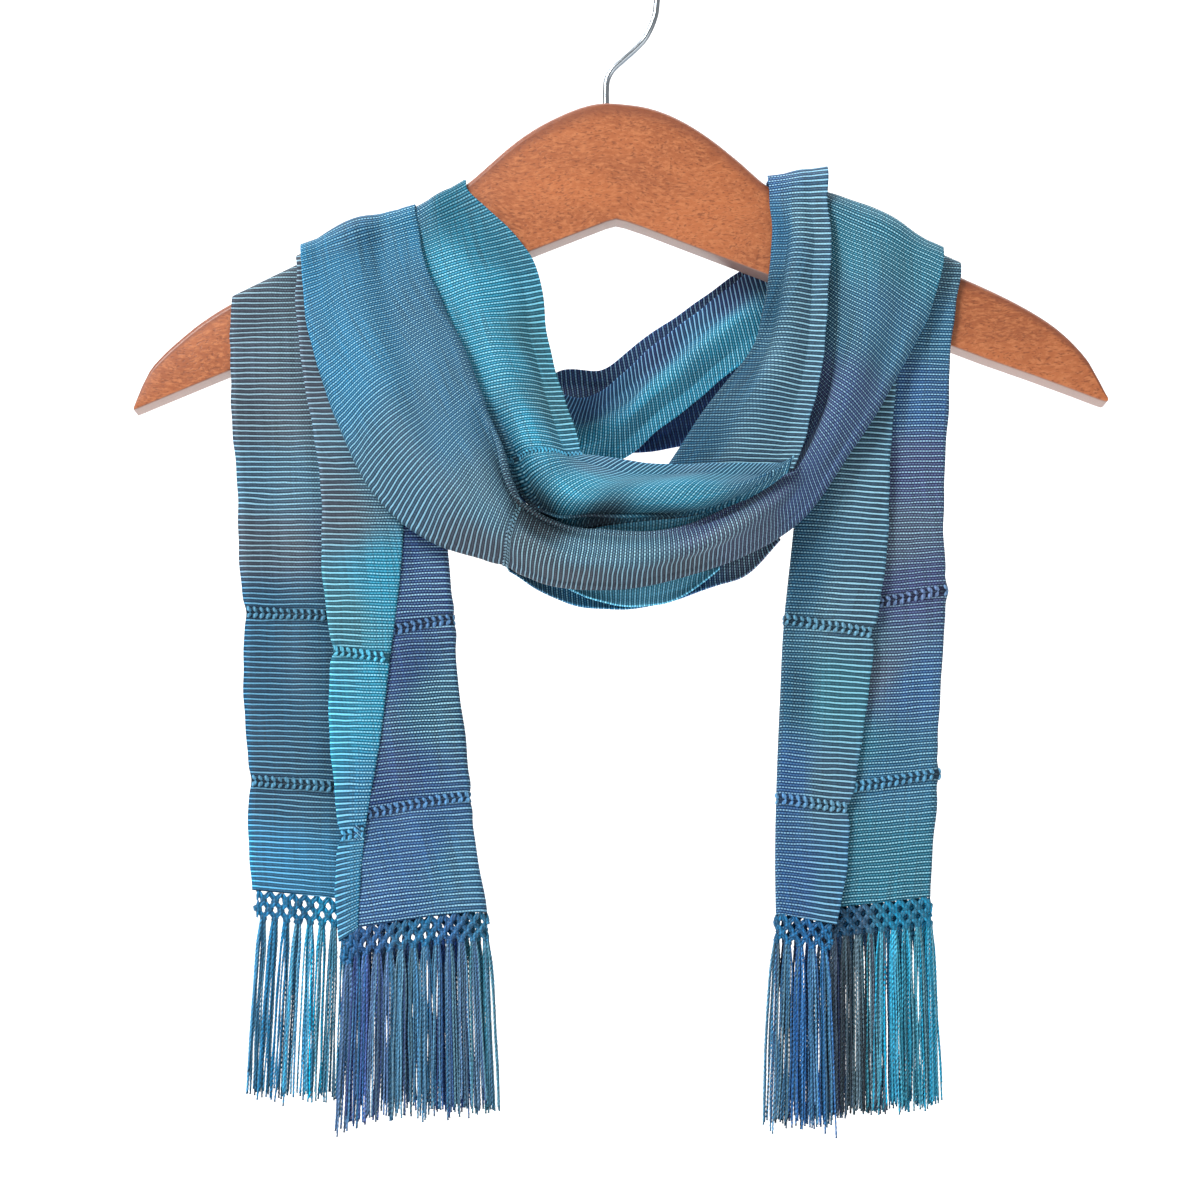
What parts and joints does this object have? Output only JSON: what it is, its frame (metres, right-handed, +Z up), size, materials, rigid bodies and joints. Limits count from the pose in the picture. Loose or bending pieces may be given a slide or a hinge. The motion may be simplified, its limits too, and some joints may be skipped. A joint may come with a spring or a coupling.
{
  "type": "wrap scarf on wooden hanger",
  "caption": "Long hand-woven wrap scarf with knotted fringe, looped once round a curved wooden hanger so that both ends hang in front of its arms.",
  "frame": {"origin": "inside top of the hook's bend, where a rail carries it", "axes": "+Z up, +X along the hanger to the viewer's right, -Y towards the viewer of the scarf's front"},
  "size_m": [0.4379, 0.0855, 0.5434],
  "materials": {
    "hanger_wood": "satin lacquer",
    "hook_wire": "bright plated",
    "scarf_cloth": "ribbed weave with a silky sheen",
    "fringe_yarn": "plied yarn"
  },
  "bodies": {
    "root": {"hanger_body": "hanger_wood", "hanger_hook": "hook_wire", "cowl_outer": "scarf_cloth", "cowl_inner": "scarf_cloth", "cowl_rise": "scarf_cloth", "cowl_pleat": "scarf_cloth", "cowl_under": "scarf_cloth", "back_swath_low": "scarf_cloth", "back_swath_high": "scarf_cloth", "tail_left": "scarf_cloth", "tail_right": "scarf_cloth", "fringe_left": "fringe_yarn", "fringe_right": "fringe_yarn"}
  },
  "joints": []
}
